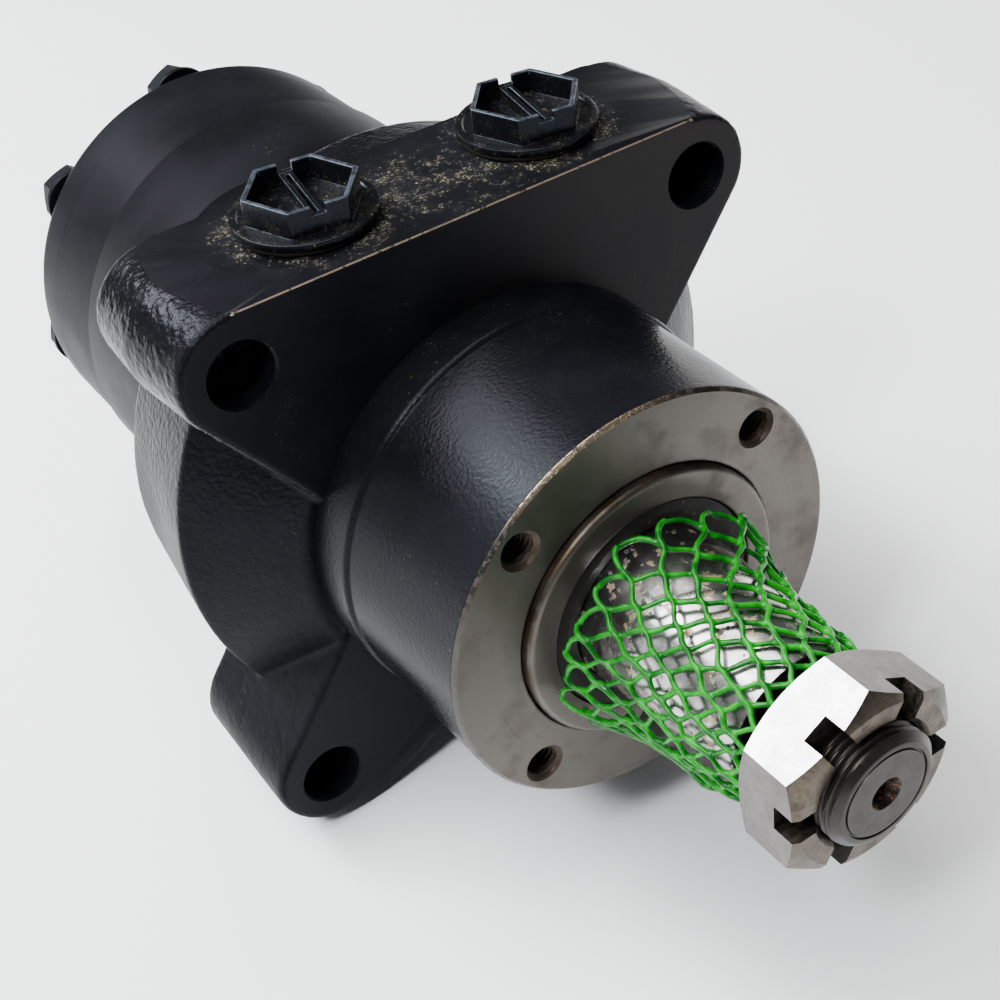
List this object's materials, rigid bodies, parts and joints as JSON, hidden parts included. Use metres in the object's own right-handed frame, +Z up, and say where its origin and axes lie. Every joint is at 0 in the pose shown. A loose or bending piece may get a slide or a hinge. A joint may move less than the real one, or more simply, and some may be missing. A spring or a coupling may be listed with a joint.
{
  "type": "orbital hydraulic wheel motor",
  "caption": "Low-speed hydraulic motor: cast body with a square lugged flange behind a long round nose, keyed tapered shaft with slotted nut, round bolted rear pack, capped ports on top.",
  "frame": {"origin": "on the shaft's axis, in the plane of the mounting flange's front face", "axes": "+X right as seen from the shaft end, +Y along the shaft's axis away from the shaft end towards the rear cover, +Z up out of the port face"},
  "size_m": [0.1348, 0.2561, 0.1437],
  "materials": {
    "black_paint": "glossy black paint over rough cast and turned iron",
    "machined_iron": "bare turned iron, lightly rusted",
    "ground_steel": "ground steel with a film of grease",
    "zinc_steel": "bright plated steel, worn on its corners",
    "dark_steel": "dark oiled steel",
    "seal_rubber": "matt black nitrile rubber",
    "plug_plastic": "moulded black plastic with pale worn edges",
    "net_plastic": "glossy translucent green extruded net",
    "bronze": "sintered bronze"
  },
  "bodies": {
    "body": {"housing": "black_paint", "seal_carrier": "machined_iron", "dust_seal": "seal_rubber", "shaft_seal": "seal_rubber", "seal_washer": "ground_steel", "bearing_race": "ground_steel", "thrust_washer": "bronze", "thrust_race": "ground_steel", "spacer_plate": "black_paint", "stator_ring": "black_paint", "end_cover": "black_paint", "body_seal_front": "seal_rubber", "body_seal_middle": "seal_rubber", "body_seal_rear": "seal_rubber", "cover_bolt_1": "black_paint", "cover_bolt_2": "black_paint", "cover_bolt_3": "black_paint", "cover_bolt_4": "black_paint", "cover_bolt_5": "black_paint", "cover_bolt_6": "black_paint", "cover_bolt_7": "black_paint", "cover_washer_1": "black_paint", "cover_washer_2": "black_paint", "cover_washer_3": "black_paint", "cover_washer_4": "black_paint", "cover_washer_5": "black_paint", "cover_washer_6": "black_paint", "cover_washer_7": "black_paint", "port_plug_left": "plug_plastic", "port_plug_right": "plug_plastic", "port_seal_left": "seal_rubber", "port_seal_right": "seal_rubber"},
    "shaft": {"output_shaft": "ground_steel", "shaft_key": "dark_steel", "slotted_nut": "zinc_steel", "shaft_net_sleeve": "net_plastic"},
    "needle_row": {"needle_cage": "ground_steel"},
    "thrust_needle_row": {"thrust_needle_cage": "ground_steel"},
    "orbit": {"drive_spacer": "ground_steel"},
    "rotor": {"rotor": "ground_steel"},
    "drive_link": {"drive_link": "dark_steel"},
    "roller_1": {"roller_1": "ground_steel"},
    "roller_2": {"roller_2": "ground_steel"},
    "roller_3": {"roller_3": "ground_steel"},
    "roller_4": {"roller_4": "ground_steel"},
    "roller_5": {"roller_5": "ground_steel"},
    "roller_6": {"roller_6": "ground_steel"},
    "roller_7": {"roller_7": "ground_steel"}
  },
  "joints": [
    {"name": "shaft_spin", "type": "hinge", "parent": "body", "child": "shaft", "pos_m": [0, 0, 0], "axis": [0, -1, 0], "continuous": true},
    {"name": "needle_spin", "type": "hinge", "parent": "body", "child": "needle_row", "pos_m": [0, -0.027, 0], "axis": [0, -1, 0], "continuous": true},
    {"name": "thrust_needle_spin", "type": "hinge", "parent": "body", "child": "thrust_needle_row", "pos_m": [0, -0.0111, 0], "axis": [0, -1, 0], "continuous": true},
    {"name": "orbit_spin", "type": "hinge", "parent": "body", "child": "orbit", "pos_m": [0, 0.1225, 0], "axis": [0, -1, 0], "continuous": true},
    {"name": "rotor_spin", "type": "hinge", "parent": "orbit", "child": "rotor", "pos_m": [0.00244, 0.1177, 0.00056], "axis": [0, -1, 0], "continuous": true},
    {"name": "link_spin", "type": "hinge", "parent": "orbit", "child": "drive_link", "pos_m": [0, 0.028, 0], "axis": [-0.0275, -0.9996, -0.0063], "continuous": true},
    {"name": "roller_1_spin", "type": "hinge", "parent": "body", "child": "roller_1", "pos_m": [0.02876, 0.1177, 0.00656], "axis": [0, -1, 0], "continuous": true},
    {"name": "roller_2_spin", "type": "hinge", "parent": "body", "child": "roller_2", "pos_m": [0.0128, 0.1177, 0.02658], "axis": [0, -1, 0], "continuous": true},
    {"name": "roller_3_spin", "type": "hinge", "parent": "body", "child": "roller_3", "pos_m": [-0.0128, 0.1177, 0.02658], "axis": [0, -1, 0], "continuous": true},
    {"name": "roller_4_spin", "type": "hinge", "parent": "body", "child": "roller_4", "pos_m": [-0.02876, 0.1177, 0.00656], "axis": [0, -1, 0], "continuous": true},
    {"name": "roller_5_spin", "type": "hinge", "parent": "body", "child": "roller_5", "pos_m": [-0.02306, 0.1177, -0.01839], "axis": [0, -1, 0], "continuous": true},
    {"name": "roller_6_spin", "type": "hinge", "parent": "body", "child": "roller_6", "pos_m": [0, 0.1177, -0.0295], "axis": [0, -1, 0], "continuous": true},
    {"name": "roller_7_spin", "type": "hinge", "parent": "body", "child": "roller_7", "pos_m": [0.02306, 0.1177, -0.01839], "axis": [0, -1, 0], "continuous": true}
  ],
  "couplings": [
    {"joint": "needle_spin", "follows": "shaft_spin", "ratio": 0.46},
    {"joint": "thrust_needle_spin", "follows": "shaft_spin", "ratio": 0.5},
    {"joint": "orbit_spin", "follows": "shaft_spin", "ratio": -6},
    {"joint": "rotor_spin", "follows": "shaft_spin", "ratio": 7},
    {"joint": "link_spin", "follows": "shaft_spin", "ratio": 7}
  ]
}
